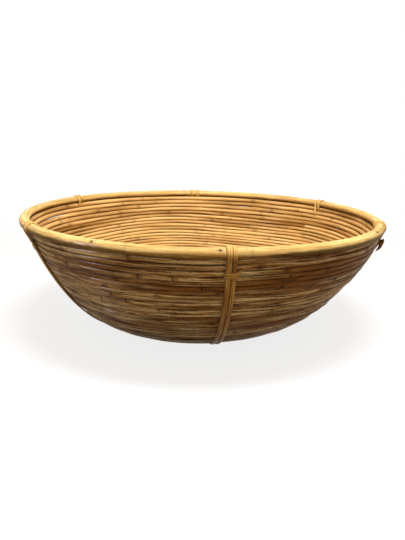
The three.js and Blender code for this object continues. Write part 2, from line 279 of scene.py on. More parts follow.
# Thickness at each step of the coil: each reed's own, eased over a splice, with a slow and a quick
# swelling along it, and down to nothing where the last turn is skived away.
coil_turns = np.arange(-counted_turns * steps_a_turn, steps_a_turn) / steps_a_turn
eased_at = np.stack([-splice_turns - splice_ease, -splice_turns + splice_ease], -1).ravel()
thickness = np.interp(coil_turns, eased_at, np.repeat(reed_thickness, 2)[1:-1])
swelling = slow_swell * wander(coil_turns, slow_turns, 11)
swelling += quick_swell * wander(coil_turns, quick_turns, 12)
thickness *= 1 + swelling
thickness *= 1 - smooth_step((coil_turns - taper_start) / (coil_end - taper_start))
under_rim = rim_level - rim_thickness / 2
rim_seat = rim_level - rim_flat_side

# The turns fill the wall from the eye to the rim cane. Rows of by_turn, and base below, are parts of
# the thickness itself, so they change with it.
by_turn = thickness.reshape(-1, steps_a_turn)
eye_column = round(coil_eye % 1 * steps_a_turn)
thickness *= (rim_seat - eye_radius) / (by_turn[1:, eye_column].sum() + by_turn[0, eye_column] / 2)

# The base's turns are evened out, so that the coil winds round a round eye
base_turns = 21
base = by_turn[:base_turns]
base_edge = rim_seat - by_turn[base_turns:].sum(0)
second_turn = eye_radius + (np.arange(steps_a_turn) / steps_a_turn + 0.5) * base.mean()
base *= (base_edge - second_turn) / (base[2:].sum(0) + base[1] / 2)
above = np.vstack([np.cumsum(by_turn[::-1], axis=0)[::-1][1:], np.zeros(steps_a_turn)])
centre_level = rim_seat - above.ravel() - thickness / 2
coil_radius = np.hypot(*wall_points(0, centre_level)[:, :2].T)
coil_length = np.r_[0, np.cumsum(2 * pi * coil_radius / steps_a_turn)][:-1]


def turns_at(azimuth, count=40):
    """The coil's turns at an azimuth, from the rim down."""
    highest = (azimuth - coil_start) / 360 % 1
    return (highest if highest < coil_end else highest - 1) - np.arange(count)


def turn_at(azimuth, depth):
    """The coil's turn at an azimuth and a depth below the rim cane."""
    turns = turns_at(azimuth)
    bottoms = under_rim - np.interp(turns, coil_turns, centre_level - thickness / 2)
    return turns[np.searchsorted(bottoms, depth)]


# Gaps between two turns where light shows through or a dark line runs: azimuth and depth below the
# rim cane of its middle, half its length in degrees, and its width
gaps = [
    (256, 0.0074, 9, 0.0007),
    (160, 0.006, 5, 0.0008),
    (5, 0.0613, 36, 0.0009),
    (49, 0.056, 18, 0.0006),
    (35, 0.0151, 14, 0.0006),
    (331, 0.0089, 22, 0.0006),
    (190, 0.0272, 20, 0.0004),
]


def gap_below(turns):
    """Half the width that a turn gives up at its lower edge: a smooth bump over each gap's length, level
    over its middle third."""
    given = np.zeros(np.shape(turns))
    for azimuth, depth, half_length, width in gaps:
        from_middle = np.abs(turns - turn_at(azimuth, depth)) * 360 / half_length
        given += width / 2 * smooth_step(1.5 * (1 - from_middle))
    return given


def skin(name, rings, lengths, girths, shades):
    """A closed mesh over rings of points, as an array of rings by sides by three: quads between rings and a
    flat face over each end. Its UV map holds metres along and around, and shades become attributes."""
    count, sides = rings.shape[:2]
    at = np.arange(count * sides).reshape(count, sides)
    after = np.roll(at, -1, axis=1)
    quads = np.stack([at[:-1], after[:-1], after[1:], at[1:]], -1).reshape(-1, 4)
    loops = np.concatenate([quads.ravel(), at[0, ::-1], at[-1]])
    starts = np.r_[np.arange(len(quads)) * 4, quads.size, quads.size + sides]
    mesh = bpy.data.meshes.new(name)
    mesh.vertices.add(count * sides)
    mesh.vertices.foreach_set("co", rings.astype(np.float32).ravel())
    mesh.loops.add(len(loops))
    mesh.loops.foreach_set("vertex_index", loops.astype(np.int32))
    mesh.polygons.add(len(starts))
    mesh.polygons.foreach_set("loop_start", starts.astype(np.int32))
    mesh.polygons.foreach_set("use_smooth", np.r_[np.full(len(quads), True), False, False])
    along = np.repeat(lengths, sides).reshape(count, sides)
    around = np.outer(girths, np.arange(sides + 1) / sides)
    u = np.stack([along[:-1], along[:-1], along[1:], along[1:]], -1).ravel()
    v = np.stack([around[:-1, :-1], around[:-1, 1:], around[1:, 1:], around[1:, :-1]], -1).ravel()
    u = np.concatenate([u, along[0, ::-1], along[-1]])
    v = np.concatenate([v, around[0, -2::-1], around[-1, :-1]])
    uv = np.stack([u, v], -1).astype(np.float32)
    mesh.uv_layers.new(name="cane").data.foreach_set("uv", uv.ravel())
    for shade, values in shades.items():
        spread = np.broadcast_to(values, (count, sides)).astype(np.float32)
        mesh.attributes.new(shade, "FLOAT", "POINT").data.foreach_set("value", spread.ravel())
    mesh.update()
    mesh.validate()
    made = bpy.data.objects.new(name, mesh)
    bpy.context.scene.collection.objects.link(made)
    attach(made, "root")
    return made


# Varnished rattan: whole cane with its skin on, straw to amber, with long fine grain, a brown scar
# round each node and old varnish gone dark in the grooves, which also paints the shade there. The
# varnish gives a soft sheen.
def rattan(name, straw, faded, honey, amber, grain_width, aged, roughness):
    """Builds a cane's finish: straw, faded where it is worn, with honey grain and amber patches. Grain is
    long noise on the cane's own UV map, in metres, and aged is how brown its streaks are. The mesh's
    attributes say where the cane is toned, worn, scarred, cut or pitted, and where its grooves are
    darkened by dirt and painted shade."""
    material = bpy.data.materials.new(name)
    tree = empty_tree(material)
    cane = add_node(tree, "ShaderNodeUVMap", uv_map="cane")
    marks = {}
    for mark in ("tone", "worn", "scar", "groove", "cut", "pit"):
        marks[mark] = add_node(tree, "ShaderNodeAttribute", attribute_name=mark).outputs["Fac"]

    def streaks(length, width, detail):
        """Noise stretched along the cane, with streaks of about this length and width in metres."""
        scaled = {"Vector": cane.outputs[0], "Scale": (1 / length, 1 / width, 1)}
        scaled = add_node(tree, "ShaderNodeMapping", scaled)
        noise = {"Vector": scaled.outputs[0], "Scale": 1.0, "Detail": detail, "Roughness": 0.6}
        return add_node(tree, "ShaderNodeTexNoise", noise).outputs[0]

    def between(value, low, high, to_low=0.0, to_high=1.0):
        """The value remapped from low and high."""
        ranges = {"Value": value, "From Min": low, "From Max": high, "To Min": to_low, "To Max": to_high}
        return add_node(tree, "ShaderNodeMapRange", ranges).outputs[0]

    def times(first, second):
        """Two shares multiplied."""
        return add_node(tree, "ShaderNodeMath", {0: first, 1: second}, operation="MULTIPLY").outputs[0]

    # Grain is drawn about twice as coarse as rattan's own fibres, so that it shows
    grain = streaks(28 * grain_width, grain_width, 3.0)
    strand = streaks(0.085, 2.4 * grain_width, 1.0)
    patch = streaks(0.035, 0.009, 2.0)
    pores = streaks(0.0045, 0.0011, 1.0)
    weathered = streaks(0.045, 0.0017, 2.0)

    lined = times(between(grain, 0.44, 0.57), between(marks["worn"], 0.0, 1.0, 0.5, 1.0))
    skin_tone = mixed(tree, marks["worn"], linear(straw), linear(faded))
    ground = mixed(tree, lined, skin_tone, linear(honey))
    drift = add_node(tree, "ShaderNodeMath", {0: patch, 1: strand}, operation="ADD").outputs[0]
    warmth = {0: drift, 1: 0.6, 2: marks["tone"]}
    warmth = add_node(tree, "ShaderNodeMath", warmth, operation="MULTIPLY_ADD").outputs[0]
    body = mixed(tree, between(warmth, 0.55, 1.35), ground, linear(amber))

    # Brown marks, each laid over the ones before: aged streaks and pores where the skin is worn, dirt and
    # painted shade in the grooves, scars that are broken here and there, bare cut ends, and pits
    brown_streaks = times(between(weathered, 0.53, 0.6, 0.0, aged), marks["worn"])
    open_pores = times(between(pores, 0.62, 0.7, 0.0, 0.9), marks["worn"])
    broken_scars = times(marks["scar"], between(patch, 0.32, 0.6, 0.25, 1.0))
    for share, brown in (
        (brown_streaks, "#694619"),
        (open_pores, "#40250D"),
        # the grooves' dark brown is dirt and painted shade together
        (marks["groove"], "#321D0A"),
        (broken_scars, "#3A220D"),
        (marks["cut"], "#4B2F14"),
        (marks["pit"], "#1E120A"),
    ):
        body = mixed(tree, share, body, linear(brown))

    relief = {"Height": grain, "Strength": 0.2, "Distance": 0.0003}
    relief = add_node(tree, "ShaderNodeBump", relief).outputs[0]
    finish = {"Base Color": body, "Normal": relief, "IOR": 1.5, "Specular IOR Level": 0.02}
    finish.update({"Coat Weight": between(marks["groove"], 0.05, 0.4, 0.07, 0.0), "Coat Roughness": 0.2})
    finish["Roughness"] = between(patch, 0.3, 0.7, roughness - 0.06, roughness + 0.1)
    shader = add_node(tree, "ShaderNodeBsdfPrincipled", finish)
    add_node(tree, "ShaderNodeOutputMaterial", {"Surface": shader.outputs[0]})
    return material


# The six pairs of binding strips: each pair's azimuth, how many turns down its strips go inside, how
# far they part over the rim, how broad they are, and how far they slant inside
bindings = {
    "front": (7.8, (1, 2), 0.0, 1.0, 0.0),
    "right": (75.0, (1, 2), 0.002, 1.0, 0.0),
    "back_right": (124.5, (1, 2), 0.0006, 0.8, -0.002),
    "back": (183.5, (0, 0), 0.0022, 1.1, 0.0),
    "back_left": (239.0, (0, 1), 0.001, 0.8, 0.0015),
    "left": (303.0, (1, 2), 0.0, 1.0, 0.0),
}
strip_widths = {"a": 0.0058, "b": 0.0046}
strip_seam = 0.0003
sway_at_base, sway_change, sway_reach = 0.0017, 0.0037, 0.045


def sway(place, level):
    """How far the front pair strays sideways: to the left over the rim and to the right at the base."""
    over_rim = np.exp(-np.maximum(rim_level - level, 0) / sway_reach)
    return (place == "front") * (sway_at_base - sway_change * over_rim)


# Reeds: fifteen lengths of whole pencil-thick rattan, steamed and coiled, each cut on a slant where the
# next is laid on. They swell a little at the nodes, and where they touch they are darkened by old varnish
# and painted shade.
reed_finish = rattan("varnished_pencil_reed", "#EBC17E", "#FFEDBE", "#C69650", "#93652E", 0.0017, 1.0, 0.42)
reed_sides = 18
ring_step = 0.004
inner_shape, outer_shape = 0.92, 0.7  # powers that square a reed's section, more on its outer side
pressed = 1.012  # each reed is drawn this much thicker, so that neighbours press into each other
thinnest = 0.0002  # half a reed's thickness at its skived tip

# Each turn strays in and out of line a little, in long waves and in short ones
stray, stray_length = 0.0005, 0.16
tremor, tremor_length = 0.0002, 0.05

# Splices: cut faces that slant, with a hairline gap between them, and one that stands open front left
splice_slant = 0.5
splice_reach = 0.018
splice_gap = 0.00015
open_splice, open_gap = 9, 0.0011
end_round, end_drop = 0.0004, 0.02
end_rings = 0.001 * np.array([0.4, 0.9, 1.6, 2.6])
cut_tone, cut_reach = 0.3, 0.0003

# Nodes: a low ring with a fine line in it. A brown scar, a fainter one beside it and a stain lie over
# each, and lean its own way.
node_spacing, most_nodes = (0.13, 0.30), 60
node_clearance, end_clearance = 0.08, 0.02
node_swell, swell_reach = 0.05, 0.0045
node_line, line_reach = 0.05, 0.0009
node_tilt, tilt_pace = 0.35, 700
node_rings = 0.001 * np.array([-3, -1.8, -0.9, 0, 0.9, 1.8, 3])
scar_width = 0.0011
second_scar, second_scar_at, second_scar_width = 0.7, 0.0034, 0.0008
node_stain, node_stain_reach = 0.4, 0.004

# Tone: each reed's own, which drifts along it and shows more outside. Inside, the turns just below the
# rim cane are painted browner, a painted shade under the rim cane.
reed_tone = [0.2, 0.0, 0.3, 0.05, 0.25, 0.0, 0.35, 0.1, 0.25, -0.1, 0.1, 0.25, 0.4, 0.1, 0.0]
tone_drift, tone_drift_length = 0.3, 0.3
outer_tone, outer_contrast = 0.05, 0.8
under_rim_painted_shade, under_rim_shade_reach = 0.18, 0.03

# Dirt and painted shade in the grooves between the turns, and painted shadow in the grooves beside the
# strips, most at the left pair
groove_dirt_and_shade, dirt_and_shade_change, dirt_and_shade_length, least_dirt_and_shade = 0.7, 0.8, 0.12, 0.15
strip_shade_width, left_strip_shade_width, strip_shade_offset = 0.0012, 0.0035, 0.0007

# Nodes and dark pits that the photograph shows: azimuth and depth below the rim cane
shown_nodes = [
    (336.9, 0.0265), (344.0, 0.0260), (353.2, 0.0193), (0.5, 0.0336), (4.7, 0.0393), (342.3, 0.0021),
    (333.4, 0.0509), (337.2, 0.0833), (353.4, 0.0803), (321.3, 0.0297), (21.9, 0.0151), (38.7, 0.0292),
    (23.8, 0.0585), (22.7, 0.0729), (36.2, 0.0840), (56.2, 0.0004), (217.1, 0.0078), (209.6, 0.0175),
    (195.6, 0.0278), (178.2, 0.0528), (249.0, 0.0256), (221.0, 0.0572), (246.7, 0.0002), (170.1, 0.0299),
    (149.9, 0.0312), (152.3, 0.0547), (114.1, 0.0118), (126.9, 0.0321), (230.5, 0.0145), (219.5, 0.0271),
]
shown_pits = [(23.8, 0.0205), (22.2, 0.0359), (10.5, 0.0666)]
pit_length, pit_width = 0.0022, 0.0009

# Broad darker and paler places outside: azimuth, depth, change of tone, and how far round and down
patches = [(42, 0.014, 0.7, 28, 0.018), (330, 0.056, -0.6, 26, 0.020)]


def lengths_of(places):
    """Lengths along the coil of places given by azimuth and depth below the rim cane."""
    turns = np.array([turn_at(azimuth, depth) for azimuth, depth in places])
    return np.interp(turns, coil_turns, coil_length)


# A reed's section: its sides are counted from the neighbour above, outwards
side = 2 * pi * np.arange(reed_sides) / reed_sides
reed_up, reed_out = np.cos(side), np.sin(side)
shape = np.where(reed_out > 0, outer_shape, inner_shape)
section_up = np.sign(reed_up) * np.abs(reed_up) ** shape
section_out = np.sign(reed_out) * np.abs(reed_out) ** shape
flank = np.abs(reed_up)
outside = np.clip(2 * reed_out, 0, 1)

ends = np.r_[coil_eye, -splice_turns, coil_end]
shown_lengths = lengths_of(shown_nodes)
pit_lengths = lengths_of(shown_pits)
draw = np.random.default_rng(5)
for number, (start, stop) in enumerate(zip(ends[:-1], ends[1:])):
    first, last = np.interp([start, stop], coil_turns, coil_length)
    first += (open_gap if number == open_splice + 1 else splice_gap) / 2
    last -= (open_gap if number == open_splice else splice_gap) / 2
    nodes = first + np.cumsum(draw.uniform(*node_spacing, most_nodes))
    nodes = nodes[np.abs(nodes[:, None] - shown_lengths).min(1) > node_clearance]
    nodes = np.sort(np.r_[nodes, shown_lengths])
    nodes = nodes[(nodes > first + end_clearance) & (nodes < last - end_clearance)]
    places = np.r_[np.arange(first, last, ring_step), last, (nodes[:, None] + node_rings).ravel()]
    places = np.r_[places, (pit_lengths[:, None] + node_rings).ravel(), first + end_rings, last - end_rings]
    places = np.unique(np.round(np.clip(places, first, last), 5))
    turns = np.interp(places, coil_length, coil_turns)
    azimuths = coil_start + 360 * turns
    centre_at = np.interp(turns, coil_turns, centre_level)
    radius_at = np.interp(turns, coil_turns, coil_radius)

    lower, upper = gap_below(turns), gap_below(turns + 1)
    full = np.interp(turns, coil_turns, thickness)
    nearest = nodes[np.abs(places[:, None] - nodes).argmin(1)]
    from_node = places - nearest
    from_end = np.minimum(places - first, last - places)
    swell = 1 + node_swell * bump(from_node, swell_reach) - node_line * bump(from_node, line_reach)
    swell *= 1 - end_drop * np.clip(1 - from_end / end_round, 0, 1)
    high = np.maximum((full - lower - upper) / 2 * pressed * swell, thinnest)
    deep = np.maximum(full / 2 * pressed * swell, thinnest)

    # The slant of a splice shifts each point along the reed
    along = high[:, None] * section_up
    across = deep[:, None] * section_out
    proud = stray * wander(places, stray_length, 100 + number)
    proud += tremor * wander(places, tremor_length, 130 + number)
    slanted = 2 - smooth_step((places - first) / splice_reach) - smooth_step((last - places) / splice_reach)
    on_reed = turns[:, None] + (splice_slant * slanted / (2 * pi * radius_at))[:, None] * across
    level = np.interp(on_reed, coil_turns, centre_level) + ((lower - upper) / 2)[:, None] + along
    rings = wall_points(coil_start + 360 * on_reed, level, across + proud[:, None])

    tilt = node_tilt * np.sin(nearest * tilt_pace)
    over_node = from_node[:, None] - tilt[:, None] * along
    scar = bump(over_node, scar_width) + second_scar * bump(over_node - second_scar_at, second_scar_width)
    stained = node_stain * bump(over_node, node_stain_reach) * np.clip(outside, 0.2, 1)
    to_pit = places[:, None, None] - pit_lengths
    off_top = (side[:, None] - pi / 2) * full.mean() / 2
    pits = np.exp(-((to_pit / pit_length) ** 4) - ((off_top / pit_width) ** 2)).max(-1)

    tone = reed_tone[number] + tone_drift * wander(places, tone_drift_length, 200 + number)
    depth = under_rim - centre_at
    patchy = np.zeros(len(places))
    for azimuth, down, change, spread, reach in patches:
        patchy += change * bump(turned_from(azimuth, azimuths), spread) * bump(depth - down, reach)
    tone = tone[:, None] * (1 + outer_contrast * outside)
    # painted shade inside, just below the rim cane
    tone += (under_rim_painted_shade * bump(depth, under_rim_shade_reach))[:, None] * (1 - outside)
    tone += (outer_tone + patchy[:, None]) * outside + stained

    # Dirt and painted shade in the grooves, uneven along each reed
    dirt_and_shade = groove_dirt_and_shade + dirt_and_shade_change * np.where(
        reed_up > 0,
        wander(places, dirt_and_shade_length, 230 + number)[:, None],
        wander(places, dirt_and_shade_length, 260 + number)[:, None],
    )
    # Painted shadow in the grooves beside each pair of strips
    beside = np.zeros(len(places))
    for place, (azimuth, _, _, breadth, _) in bindings.items():
        width = left_strip_shade_width if place == "left" else strip_shade_width
        aside = np.radians(turned_from(azimuth, azimuths)) * radius_at - sway(place, centre_at)
        for edge in (-breadth * strip_widths["a"] - strip_shade_offset, breadth * strip_widths["b"] + strip_shade_offset):
            beside = np.maximum(beside, bump(aside - edge, width))
    painted_strip_shade = beside[:, None] * flank * outside
    shades = {
        "tone": tone,
        "worn": np.clip(0.5 + 1.5 * reed_out, 0, 1),
        "scar": scar * (0.6 + 0.4 * outside),
        "groove": np.maximum(np.clip(dirt_and_shade * flank**3, least_dirt_and_shade * flank**3, 1), painted_strip_shade),
        "cut": cut_tone * np.exp(-from_end / cut_reach)[:, None],
        "pit": pits,
    }
    name = f"reed_{number + 1:02d}"
    piece = skin(f"{name}_cane", rings, places, 2 * pi * high, shades)
    piece.data.materials.append(reed_finish)
    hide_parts(name)

# Rim cane: one whole cane twice as thick as the reeds, bent to a hoop, its two ends skived and laid
# together at the front left. It is paler on top, where the varnish has worn, and browner underneath,
# partly painted shade. It is stained by the nails.
rim_finish = rattan("varnished_rim_cane", "#EFD08A", "#EFD08A", "#CDA258", "#A8783A", 0.0018, 0.9, 0.42)
rim_splice_azimuth = 316.0
rim_slant, rim_slant_reach = 2.2, 0.05
rim_sides = 28
rim_uneven, rim_uneven_length = 0.025, 0.22
rim_swell, rim_swell_reach = 0.035, 0.006
rim_line, rim_line_reach = 0.03, 0.001
rim_end_round, rim_end_drop = 0.001, 0.05
rim_nodes = np.array([12.0, 73.0, 136.0, 188.0, 245.0, 296.0, 342.0])
rim_nails = np.array([4.4, 58.5, 100.0, 150.0, 229.0, 275.0, 332.8])
rim_nail_lean, rim_nail_slope = radians(50), radians(60)  # how steep a head faces and a shank runs
rim_node_rings = 0.001 * np.array([-5, -2.5, -1, 0, 1, 2.5, 5])
rim_nail_rings = 0.001 * np.array([-3.2, -2.4, -1.6, -0.8, 0, 0.8, 1.6, 2.4, 3.2])
nail_stain, stain_length, stain_width = 0.9, 0.0028, 0.0015
rim_cane_tone, rim_cane_drift, rim_cane_drift_length = 0.15, 0.2, 0.3
rim_scar = 0.35
rim_cut_tone, rim_cut_reach = 0.4, 0.0005

rim_round = 2 * pi * rim_radius
nodes = np.sort((rim_nodes - rim_splice_azimuth) % 360) / 360 * rim_round
nails = (rim_nails - rim_splice_azimuth) % 360 / 360 * rim_round
first, last = splice_gap / 2, rim_round - splice_gap / 2
places = np.r_[np.arange(first, last, ring_step), last, (nodes[:, None] + rim_node_rings).ravel()]
places = np.r_[places, (nails[:, None] + rim_nail_rings).ravel(), first + end_rings, last - end_rings]
places = np.unique(np.round(places, 5))
from_node = places - nodes[np.abs(places[:, None] - nodes).argmin(1)]
from_end = np.minimum(places - places[0], places[-1] - places)
radius = rim_thickness / 2 * (1 + rim_uneven * wander(places, rim_uneven_length, 31))
radius *= 1 + rim_swell * bump(from_node, rim_swell_reach) - rim_line * bump(from_node, rim_line_reach)
radius *= 1 - rim_end_drop * np.clip(1 - from_end / rim_end_round, 0, 1)
side = 2 * pi * np.arange(rim_sides) / rim_sides
flattened = np.where(np.cos(side) < 0, rim_flat_side / (rim_thickness / 2), 1.0)
along = radius[:, None] * np.cos(side) * flattened
across = radius[:, None] * np.sin(side)
shift = rim_slant * across * (1 - smooth_step(from_end / rim_slant_reach))[:, None]
azimuths = rim_splice_azimuth + 360 * (places[:, None] + shift) / rim_round
rings = wall_points(azimuths, rim_level + along, across)

# Stains round the nails. A nail's lean is counted from level, and the cane's sides from up the wall.
nail_side = rim_lean - rim_nail_lean
to_nail = places[:, None, None] - nails
off_nail = ((side - nail_side + pi) % (2 * pi) - pi)[:, None] * rim_thickness / 2
stain = (bump(to_nail, stain_length) * bump(off_nail, stain_width)).max(-1)


def stretch(value, start, stop, rise, fall):
    """1 from start to stop and 0 beyond, with a smooth rise after the start and fall before the stop."""
    return smooth_step((value - start) / rise) * smooth_step((stop - value) / fall)


# Old dirt and painted shade under the cane's outer side. It is stronger and reaches higher at the
# right, from 12 to 72 degrees, and at the left, from 12 to 85. Its edge is an angle round the cane.
dirt_and_shade_edge, dirt_and_shade_edge_ease, dirt_and_shade_ragged = 0.15, 0.25, 0.06
dirt_and_shade_climb_right, dirt_and_shade_climb_left = 0.45, 0.4
under_dirt_and_shade, more_dirt_and_shade_right, more_dirt_and_shade_left = 0.35, 0.3, 0.25
turned = turned_from(0, rim_splice_azimuth + 360 * places / rim_round)
dirt_and_shade_right = stretch(turned, 12, 72, 10, 15)
dirt_and_shade_left = stretch(-turned, 12, 85, 14, 15)
dirt_and_shade_starts = rim_lean + dirt_and_shade_edge + dirt_and_shade_ragged * wander(places, 0.02, 33)
dirt_and_shade_starts -= dirt_and_shade_climb_right * dirt_and_shade_right + dirt_and_shade_climb_left * dirt_and_shade_left
underside = smooth_step((side - dirt_and_shade_starts[:, None]) / dirt_and_shade_edge_ease) * (np.sin(side) > 0)
dirt_and_shade = under_dirt_and_shade + more_dirt_and_shade_right * dirt_and_shade_right + more_dirt_and_shade_left * dirt_and_shade_left
shades = {
    "tone": (rim_cane_tone + rim_cane_drift * wander(places, rim_cane_drift_length, 32))[:, None],
    # the outer and lower side is streaked browner, partly worn varnish and partly painted shade
    "worn": 0.4 + 0.6 * np.clip(2 * np.sin(side - rim_lean), 0, 1),
    "scar": rim_scar * bump(from_node, scar_width)[:, None],
    # painted shade where the cane sits on the coil, and the dirt and painted shade under its outer side
    "groove": np.maximum(np.clip(-np.cos(side), 0, 1) ** 2, dirt_and_shade[:, None] * underside),
    "cut": rim_cut_tone * np.exp(-from_end / rim_cut_reach)[:, None],
    "pit": nail_stain * stain,
}
rim = skin("rim_cane_hoop", rings, places, 2 * pi * radius, shades)
rim.data.materials.append(rim_finish)
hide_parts("rim_cane")

# Binding strips: six pairs of split cane, flat side to the wall, that come out between two reeds inside,
# hook over the rim, run down the outside and lie under the base, where the bowl stands on them.
strip_finish = rattan("split_cane_skin", "#EBC678", "#EBC678", "#B98442", "#8A5A22", 0.0012, 0.9, 0.36)
strip_crown = 0.0018
strip_end_radius = 0.032
route_step, strip_step = 0.0008, 0.0016
strip_width_change, strip_width_length = 0.05, 0.07
strip_stray, strip_stray_length = 0.0003, 0.09
# the left pair is painted paler: painted light on its lit outer side
strip_tone, left_strip_lit_tone, rubbed_tone = 0.2, -0.5, 0.7
strip_drift, strip_drift_length = 0.25, 0.12
strip_worn = 0.6
# darkening at the strips' edges: dirt and painted shade
strip_dirt_and_shade, rubbed_dirt_and_shade = 0.7, 0.45
strip_cut_reach = 0.0006
strip_girth = 2.6  # round a strip's section, in widths
reed_face = 0.0032  # how far the reeds' faces stand from the wall's curve
rim_play = 1.03  # room for the rim cane's own swellings
wrap_end = 0.019  # how far below the rim cane's centre the strips lie on the reeds again
spread_reach = 0.035  # how far below the rim a pair's strips start to part
slant_depth = 0.012  # a strip slants by its given amount over this depth below the rim, inside
half_round = np.radians(np.linspace(0, 180, 9))
strip_section = np.stack([np.cos(half_round), np.sin(half_round) ** 0.8], -1)
strip_section = np.vstack([strip_section, [(-0.55, 0.0), (0.0, 0.0), (0.55, 0.0)]])


def running_length(points):
    """Lengths along a line of points, from its start."""
    return np.r_[0, np.cumsum(np.linalg.norm(np.diff(points, axis=0), axis=1))]


def directions(points):
    """Unit vectors along a line of points."""
    ahead = np.gradient(points, axis=0)
    return ahead / np.linalg.norm(ahead, axis=1)[:, None]


def even_steps(points, step):
    """Even steps along a broken line, by its running length."""
    run = running_length(points)
    even = np.linspace(0, run[-1], max(int(run[-1] / step), 2))
    return np.stack([np.interp(even, run, column) for column in points.T], -1)


def soften(points, reach):
    """A running mean over reach points each way, with the ends held."""
    padded = np.pad(points, ((reach, reach), (0, 0)), mode="edge")
    kernel = np.ones(2 * reach + 1) / (2 * reach + 1)
    return np.stack([np.convolve(column, kernel, "valid") for column in padded.T], -1)


def strip_route(azimuth, turns_in):
    """A strip's back as levels and distances across the wall: out of the groove under the inner turns, up
    their inner faces, round the rim cane by a circle, and straight down to the reeds' outer faces."""
    turn = turns_at(azimuth)[turns_in]
    groove = np.interp(turn, coil_turns, centre_level + thickness / 2)
    inside = [
        (groove, 0.0),
        (groove, -0.6 * reed_face),
        (groove + 0.0012, -reed_face - 0.0002),
        (groove + 0.003, -reed_face - 0.0003),
    ]
    wrap = rim_thickness / 2 * rim_play + 0.0001
    angle = np.radians(np.arange(200, -31, -6))
    over = np.stack([rim_level + wrap * np.sin(angle), wrap * np.cos(angle)], -1)
    low = np.arange(rim_level - wrap_end, strip_end_radius, -0.003)
    outside = np.stack([low, np.full(len(low), reed_face)], -1)
    return np.vstack([inside, over, outside])


def lay_strip(name, node, centre, outward, sideways, widths, crowns, tone, dirt_and_shade, seed):
    """A strip of split cane along a line of points: a half-round section, its width along the sideways
    directions and its crown along the outward ones, with dirt and painted shade on its edges. It stands
    for its CAD node."""
    across = strip_section[:, 0] * widths[:, None] / 2
    off = strip_section[:, 1] * crowns[:, None]
    rings = centre[:, None] + across[..., None] * sideways[:, None] + off[..., None] * outward[:, None]
    run = running_length(centre)
    shades = {
        "tone": (tone + strip_drift * wander(run, strip_drift_length, seed))[:, None],
        "worn": strip_worn,
        "scar": 0.0,
        "groove": (1 - strip_section[:, 1]) ** 2 * np.reshape(dirt_and_shade, (-1, 1)),
        "cut": np.exp(-np.minimum(run, run[-1] - run) / strip_cut_reach)[:, None],
        "pit": 0.0,
    }
    piece = skin(name, rings, run + seed, strip_girth * widths, shades)
    piece.data.materials.append(strip_finish)
    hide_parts(node)


for number, (place, (azimuth, tucks, spread, breadth, slant)) in enumerate(bindings.items()):
    for letter, hand, turns_in in (("a", -1, tucks[0]), ("b", 1, tucks[1])):
        seed = 40 + 2 * number + (hand > 0)
        route = soften(even_steps(strip_route(azimuth, turns_in), route_step), 3)
        route = even_steps(route, strip_step)
        level = route[:, 0]
        run = running_length(route)
        width = breadth * strip_widths[letter]
        widths = width * (1 + strip_width_change * wander(run, strip_width_length, seed))
        shift = hand * (width + strip_seam) / 2 + strip_stray * wander(run, strip_stray_length, number)
        shift += hand * spread * smooth_step((level - rim_level + spread_reach) / spread_reach)
        shift += sway(place, level)
        inside = (route[:, 1] < 0) * np.maximum(rim_level - level, 0)
        shift += slant * soften(inside[:, None], 2)[:, 0] / slant_depth
        centre = wall_points(azimuth, level, route[:, 1], shift)
        angle = radians(azimuth)
        sideways = np.tile([np.cos(angle), np.sin(angle), 0.0], (len(centre), 1))
        outward = np.cross(directions(centre), sideways)
        crowns = np.full(len(run), strip_crown)

        # Handling has rubbed the strips pale over the rim, with less dirt and painted shade on their edges
        # there
        rubbed = smooth_step((level - rim_level + 0.003) / 0.004)
        # painted light on the left pair
        tone = (left_strip_lit_tone if place == "left" else strip_tone) - rubbed_tone * rubbed
        dirt_and_shade = strip_dirt_and_shade - rubbed_dirt_and_shade * rubbed
        name, node = f"{place}_binding_{letter}", f"{place}_strip_{letter}"
        lay_strip(name, node, centre, outward, sideways, widths, crowns, tone, dirt_and_shade, seed)

# Ties: a short split cane drawn across each pair of strips below the rim, one end tucked behind the
# first strip and the other cut to a point and left standing.
tie_width = 0.0078
tie_crown = 0.0009
tie_depth = 0.0212
tie_step = 0.0005
# the right tie's dark tone is partly painted shade
tie_tone, right_tie_shaded_tone = 0.1, 1.2
pointed_share, thinned_share = 0.55, 0.2  # of a tie's length, over which it narrows and thins to its point
right_tie_broader = 0.25
tail_twist, tail_twist_start, tail_twist_share = 1.4, 0.42, 0.2

